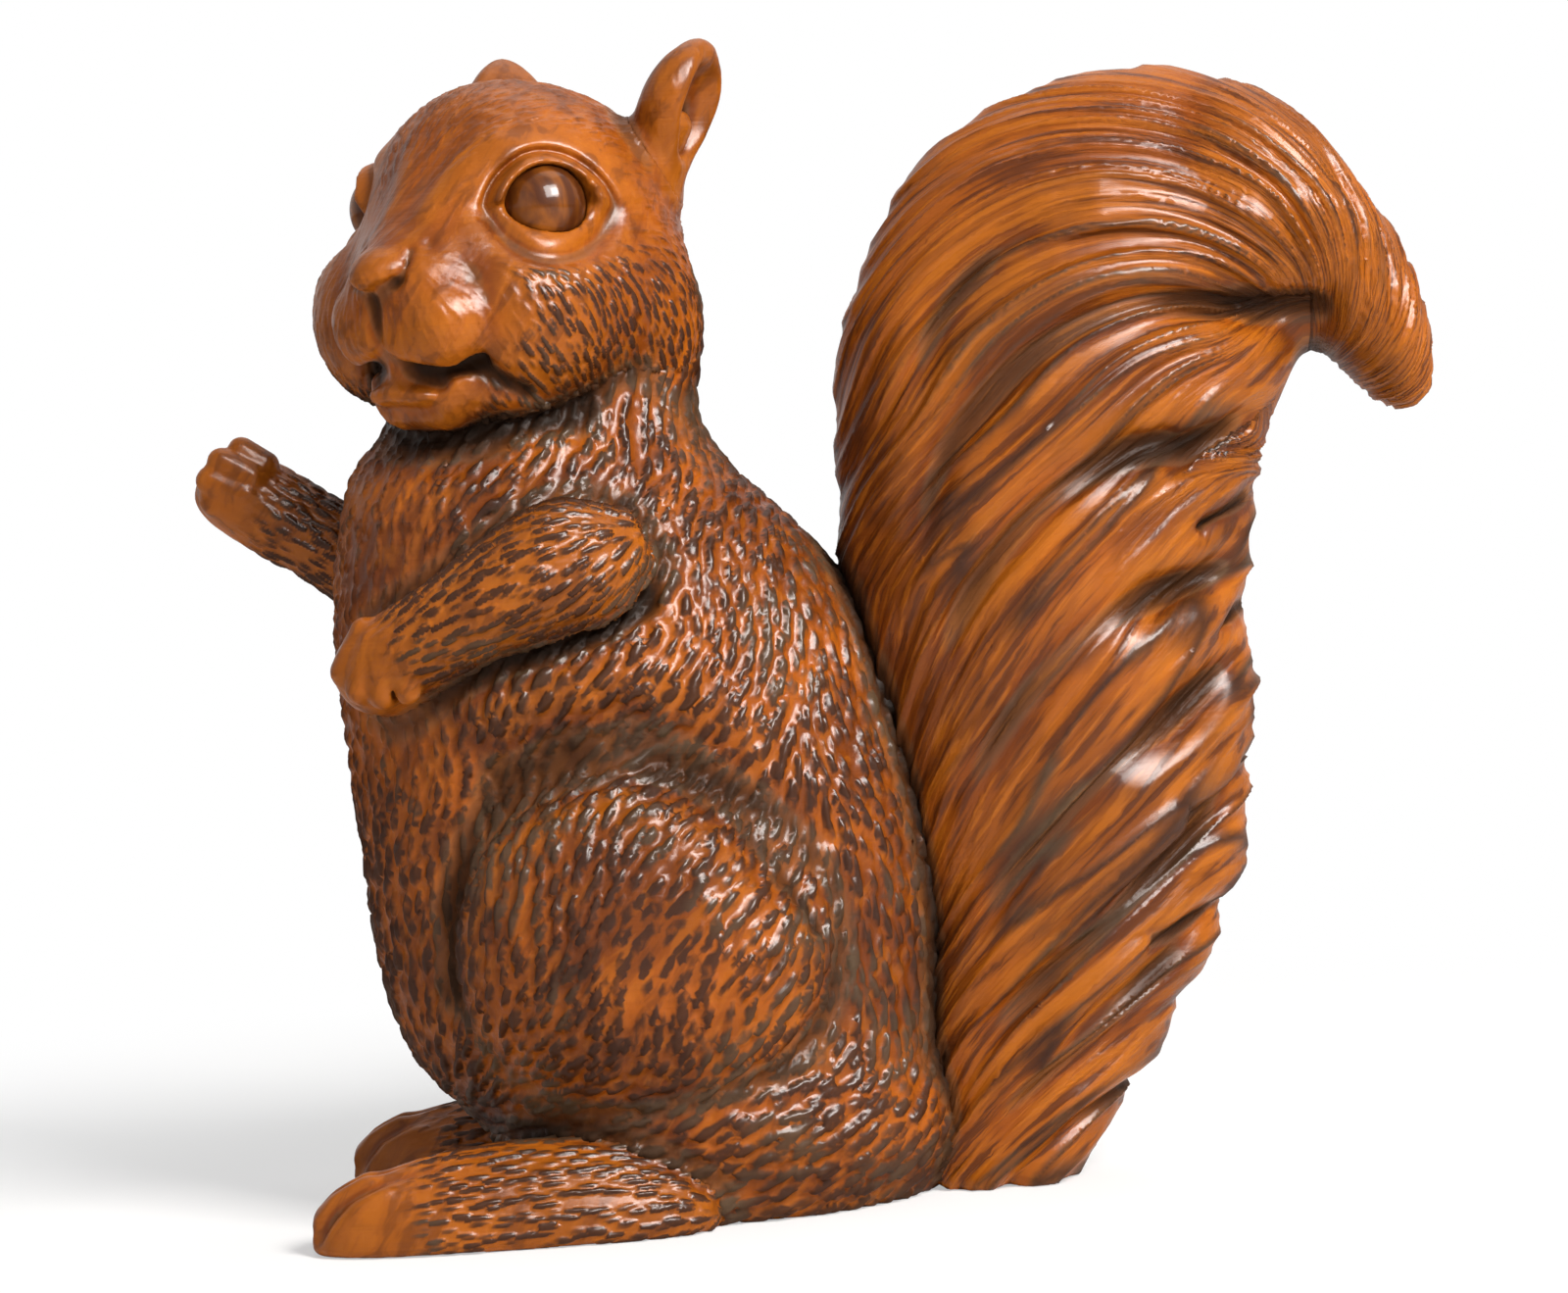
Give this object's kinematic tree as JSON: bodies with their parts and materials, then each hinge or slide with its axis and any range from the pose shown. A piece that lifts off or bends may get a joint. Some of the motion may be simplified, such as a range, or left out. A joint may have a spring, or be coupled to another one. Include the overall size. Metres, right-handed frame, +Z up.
{
  "type": "squirrel figurine",
  "caption": "Seated squirrel figurine in carved and stained wood, head turned to its left, one foreleg raised, with a tall plume tail that curls over at the top.",
  "frame": {"origin": "centre of the torso's flat underside, on the surface that the figure stands on", "axes": "+Z up, the figure faces -X, its left side is -Y and its tail is at +X"},
  "size_m": [0.0844, 0.037, 0.0783],
  "materials": {
    "body_wood": "carved fur in red-brown stained boxwood, darker in the cuts, under a glossy lacquer",
    "tail_wood": "long carved strands in amber-brown stained boxwood, dark in the grooves, under a glossy lacquer",
    "eye_wood": "smooth polished dark brown wood",
    "dowel_wood": "plain unfinished wood"
  },
  "bodies": {
    "root": {"torso": "body_wood", "head": "body_wood", "left_ear": "body_wood", "right_ear": "body_wood", "left_eye": "eye_wood", "right_eye": "eye_wood", "left_foreleg": "body_wood", "right_foreleg": "body_wood", "left_foot": "body_wood", "right_foot": "body_wood", "tail": "tail_wood", "neck_dowel": "dowel_wood", "tail_dowels": "dowel_wood", "foreleg_dowels": "dowel_wood", "foot_dowels": "dowel_wood", "ear_dowels": "dowel_wood"}
  },
  "joints": []
}
